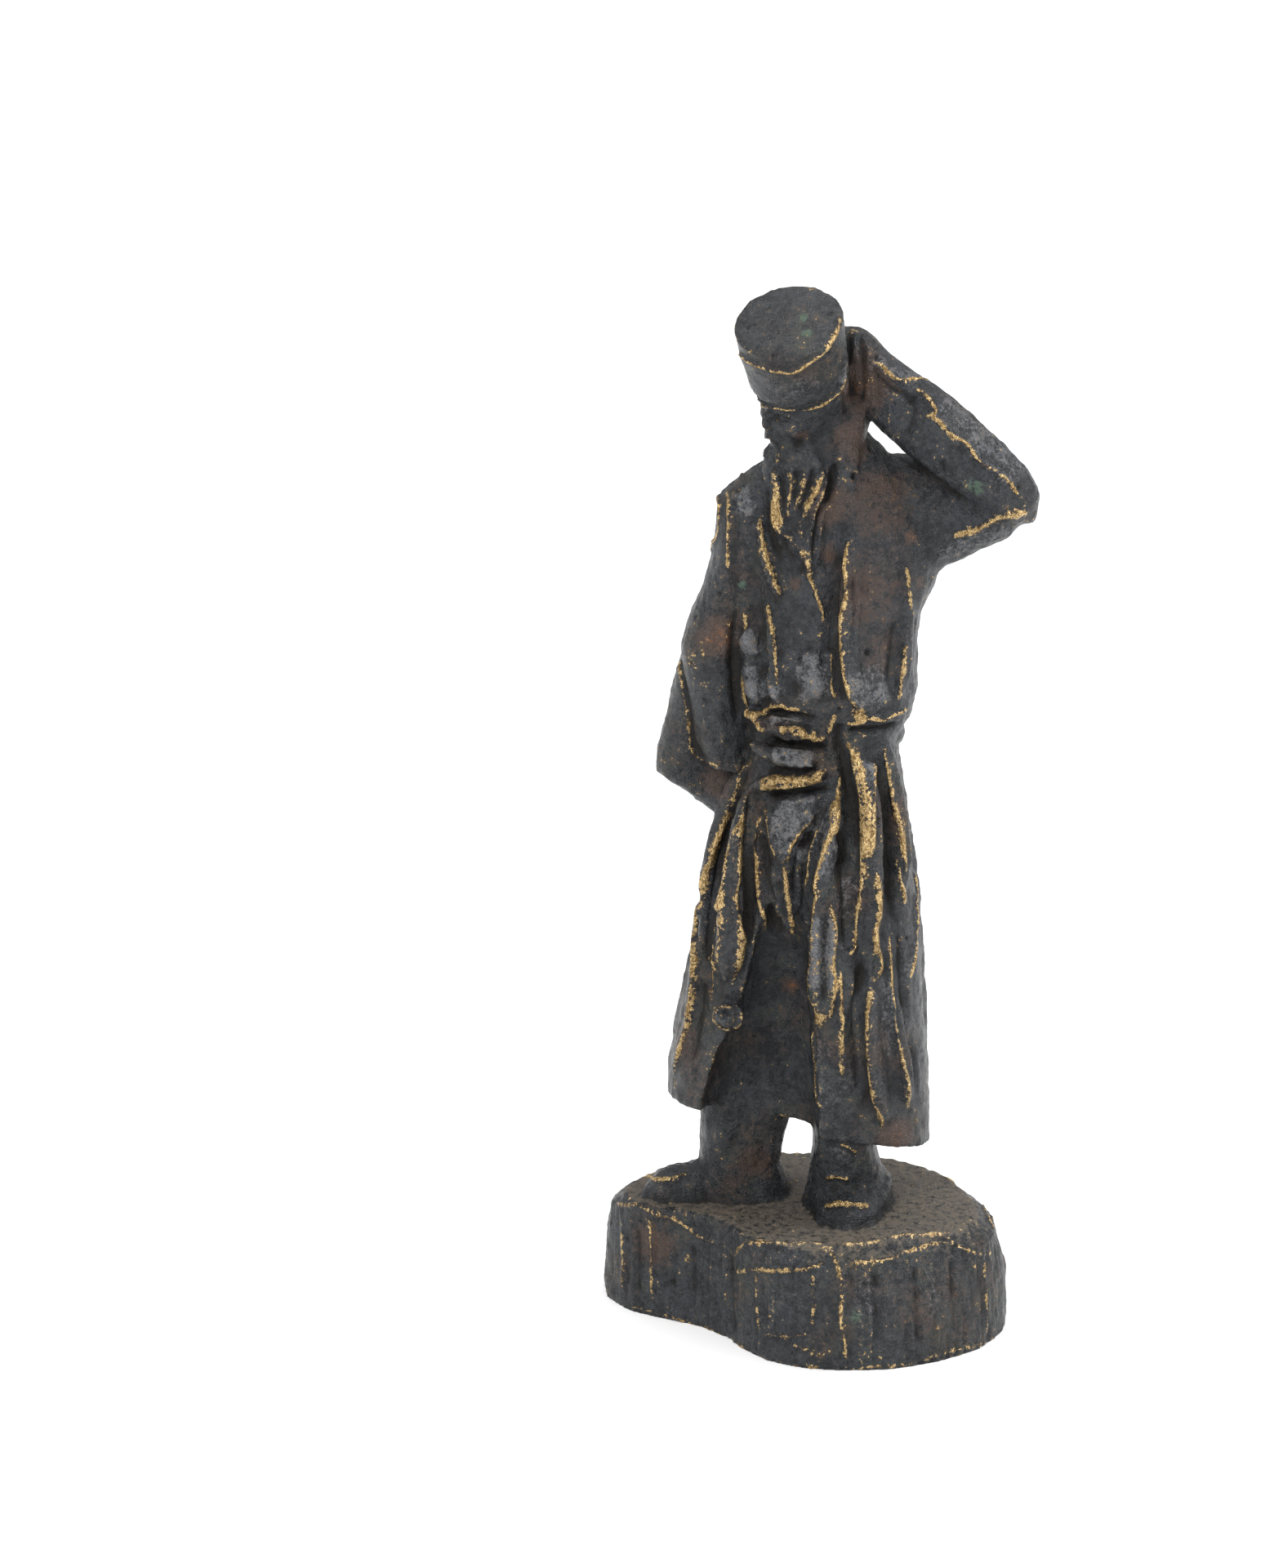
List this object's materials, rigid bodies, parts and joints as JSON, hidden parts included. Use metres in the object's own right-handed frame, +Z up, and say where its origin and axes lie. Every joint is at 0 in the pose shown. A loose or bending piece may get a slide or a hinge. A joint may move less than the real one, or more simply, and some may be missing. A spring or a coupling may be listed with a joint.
{
  "type": "bronze statuette",
  "caption": "Small cast bronze of a bearded man in a round cap and belted long coat, striding with a hand at the back of his head, on a rough rocky base.",
  "frame": {"origin": "middle of the bounding box in plan, at the underside of the base", "axes": "+Z up through the figure, -Y the way the coat's front and the leading boot face, +X his left"},
  "size_m": [0.067, 0.0478, 0.1688],
  "materials": {
    "bronze": "dark patinated bronze, worn to brass on its edges"
  },
  "bodies": {
    "root": {"bronze_figure": "bronze"}
  },
  "joints": []
}
